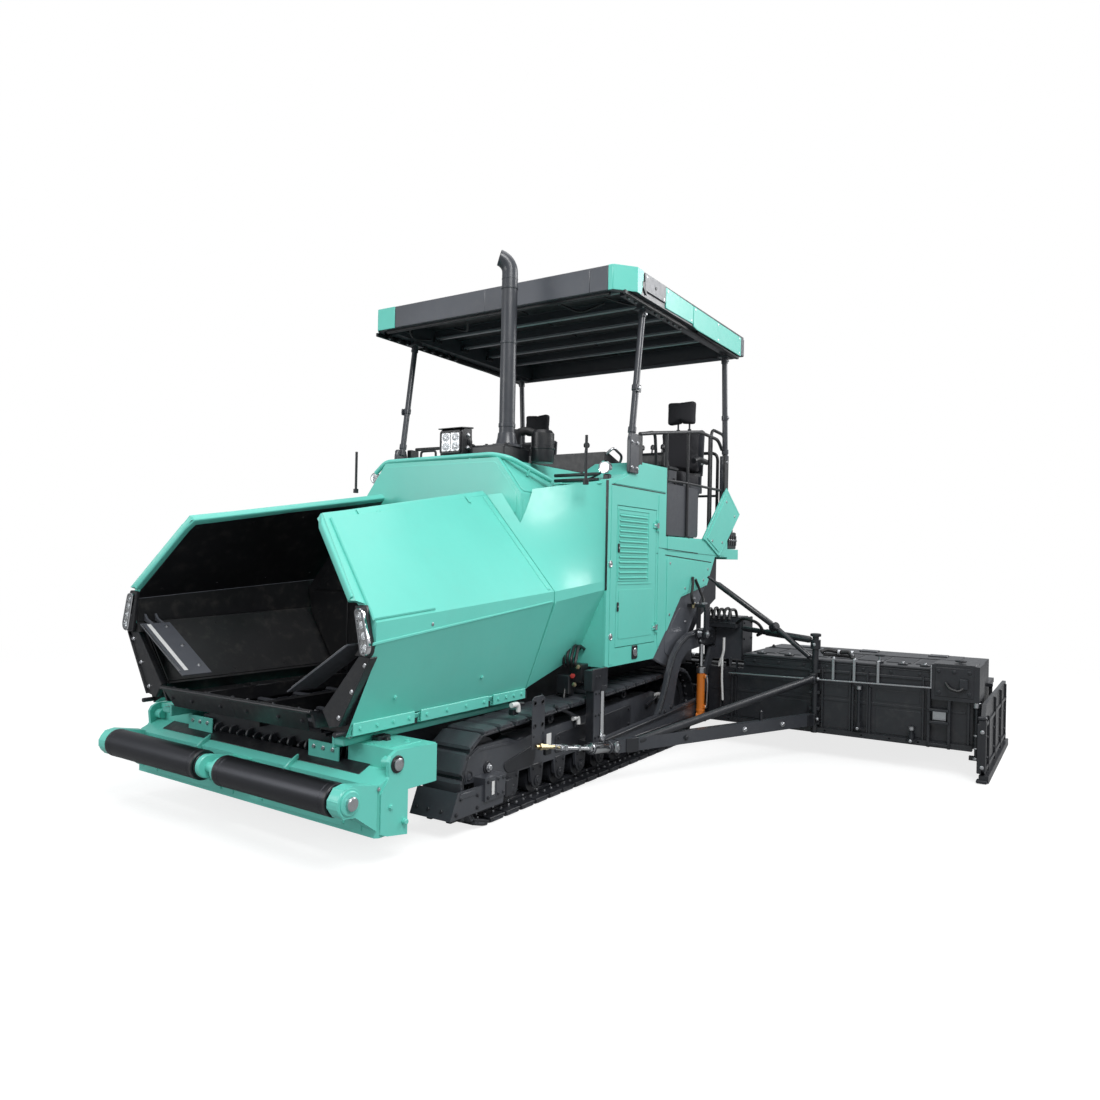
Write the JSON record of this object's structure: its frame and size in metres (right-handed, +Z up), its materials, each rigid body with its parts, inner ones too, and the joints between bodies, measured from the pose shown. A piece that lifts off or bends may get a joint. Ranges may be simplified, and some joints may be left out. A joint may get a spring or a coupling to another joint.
{
  "type": "asphalt paver",
  "caption": "Tracked asphalt paver with open hopper, push rollers, roofed operator platform, augers and a wide screed with braced extensions.",
  "frame": {"origin": "middle of the machine's footprint on the ground", "axes": "+X the way it paves, +Y its left side, +Z up"},
  "size_m": [6.04, 7.24, 4.0262],
  "materials": {
    "mint": "satin",
    "dark_paint": "satin",
    "grey_paint": "satin",
    "black_paint": "satin",
    "track_black": "matte",
    "shoe_rubber": "matte",
    "orange_paint": "satin",
    "bare_steel": "brushed",
    "seat_cloth": "woven",
    "cast": "matte"
  },
  "bodies": {
    "tractor": {"chassis": "track_black", "engine_block": "cast", "track_left": "shoe_rubber", "track_right": "shoe_rubber", "track_frames": "track_black", "track_wheels": "track_black", "hopper_floor": "black_paint", "conveyors": "track_black", "hood": "mint", "hood_fittings": "black_paint", "exhaust_stack": "dark_paint", "side_towers": "mint", "fenders": "grey_paint", "platform": "mint", "platform_wings": "mint", "rear_body": "track_black", "console": "black_paint", "roof": "dark_paint", "roof_posts": "dark_paint", "valve_boxes": "black_paint", "tow_guides": "black_paint", "auger_frame": "track_black", "lift_brackets": "black_paint"},
    "wing_left": {"hopper_wing_left": "mint", "wing_lamp_left": "grey_paint"},
    "wing_right": {"hopper_wing_right": "mint", "wing_lamp_right": "grey_paint"},
    "flap": {"front_flap": "black_paint"},
    "push_beam": {"push_beam": "mint"},
    "push_roller_left": {"push_roller_left": "bare_steel"},
    "push_roller_right": {"push_roller_right": "bare_steel"},
    "door_left": {"engine_door_left": "mint"},
    "door_right": {"engine_door_right": "mint"},
    "seat_left": {"seat_left": "dark_paint", "seat_cushions_left": "seat_cloth"},
    "seat_right": {"seat_right": "dark_paint", "seat_cushions_right": "seat_cloth"},
    "auger_left": {"auger_left": "track_black"},
    "auger_right": {"auger_right": "track_black"},
    "screed": {"tow_arms": "black_paint", "screed_body": "black_paint", "extension_walls": "black_paint", "extension_screeds": "black_paint", "extension_braces": "black_paint"},
    "end_gate_left": {"end_gate_left": "black_paint"},
    "end_gate_right": {"end_gate_right": "black_paint"},
    "lift_cylinder_left": {"lift_cylinder_left": "orange_paint"},
    "lift_cylinder_right": {"lift_cylinder_right": "orange_paint"},
    "lift_rod_left": {"lift_rod_left": "bare_steel"},
    "lift_rod_right": {"lift_rod_right": "bare_steel"}
  },
  "joints": [
    {"name": "wing_left_fold", "type": "hinge", "parent": "tractor", "child": "wing_left", "pos_m": [1.9, 0.88, 0.69], "axis": [-1, 0, 0], "range_deg": [0, 50]},
    {"name": "wing_right_fold", "type": "hinge", "parent": "tractor", "child": "wing_right", "pos_m": [1.9, -0.88, 0.69], "axis": [1, 0, 0], "range_deg": [0, 50]},
    {"name": "flap_tip", "type": "hinge", "parent": "tractor", "child": "flap", "pos_m": [2.638, 0, 0.726], "axis": [0, -1, 0], "range_deg": [0, 30]},
    {"name": "push_beam_rock", "type": "hinge", "parent": "tractor", "child": "push_beam", "pos_m": [2.44, 0, 0.365], "axis": [0, 0, 1], "range_deg": [0, 4]},
    {"name": "push_roller_left_turn", "type": "hinge", "parent": "push_beam", "child": "push_roller_left", "pos_m": [2.91596, 0.56373, 0.399], "axis": [0.0349, 0.9994, 0], "continuous": true},
    {"name": "push_roller_right_turn", "type": "hinge", "parent": "push_beam", "child": "push_roller_right", "pos_m": [2.87548, -0.59556, 0.399], "axis": [0.0349, 0.9994, 0], "continuous": true},
    {"name": "door_left_open", "type": "hinge", "parent": "tractor", "child": "door_left", "pos_m": [-0.386, 1.225, 1.53], "axis": [0, 0, 1], "range_deg": [0, 110]},
    {"name": "door_right_open", "type": "hinge", "parent": "tractor", "child": "door_right", "pos_m": [-0.386, -1.225, 1.53], "axis": [0, 0, -1], "range_deg": [0, 110]},
    {"name": "seat_left_swivel", "type": "hinge", "parent": "tractor", "child": "seat_left", "pos_m": [-1.45, 0.85, 1.9], "axis": [0, 0, 1], "range_deg": [-60, 60]},
    {"name": "seat_right_swivel", "type": "hinge", "parent": "tractor", "child": "seat_right", "pos_m": [-1.45, -0.85, 1.9], "axis": [0, 0, 1], "range_deg": [-60, 60]},
    {"name": "auger_left_turn", "type": "hinge", "parent": "tractor", "child": "auger_left", "pos_m": [-1.75, 1.5, 0.42], "axis": [0, 1, 0], "continuous": true},
    {"name": "auger_right_turn", "type": "hinge", "parent": "tractor", "child": "auger_right", "pos_m": [-1.75, -1.5, 0.42], "axis": [0, 1, 0], "continuous": true},
    {"name": "screed_lift", "type": "hinge", "parent": "tractor", "child": "screed", "pos_m": [0.5, 0, 0.29], "axis": [0, 1, 0], "range_deg": [-1.9, 6]},
    {"name": "end_gate_left_slide", "type": "slide", "parent": "screed", "child": "end_gate_left", "axis": [0, 0, 1], "range_m": [0, 0.2]},
    {"name": "end_gate_right_slide", "type": "slide", "parent": "screed", "child": "end_gate_right", "axis": [0, 0, 1], "range_m": [0, 0.2]},
    {"name": "lift_cylinder_left_swing", "type": "hinge", "parent": "screed", "child": "lift_cylinder_left", "pos_m": [-1.156, 1.31, 0.27], "axis": [0, 1, 0], "range_deg": [-8, 3]},
    {"name": "lift_cylinder_right_swing", "type": "hinge", "parent": "screed", "child": "lift_cylinder_right", "pos_m": [-1.156, -1.31, 0.27], "axis": [0, 1, 0], "range_deg": [-8, 3]},
    {"name": "lift_rod_left_stroke", "type": "slide", "parent": "lift_cylinder_left", "child": "lift_rod_left", "axis": [0, 0, 1], "range_m": [-0.18, 0.06]},
    {"name": "lift_rod_right_stroke", "type": "slide", "parent": "lift_cylinder_right", "child": "lift_rod_right", "axis": [0, 0, 1], "range_m": [-0.18, 0.06]}
  ],
  "couplings": [
    {"joint": "lift_cylinder_left_swing", "follows": "screed_lift", "ratio": -1.163},
    {"joint": "lift_cylinder_right_swing", "follows": "screed_lift", "ratio": -1.163},
    {"joint": "lift_rod_left_stroke", "follows": "screed_lift", "m_per_rad": -1.6515},
    {"joint": "lift_rod_right_stroke", "follows": "screed_lift", "m_per_rad": -1.6515}
  ]
}
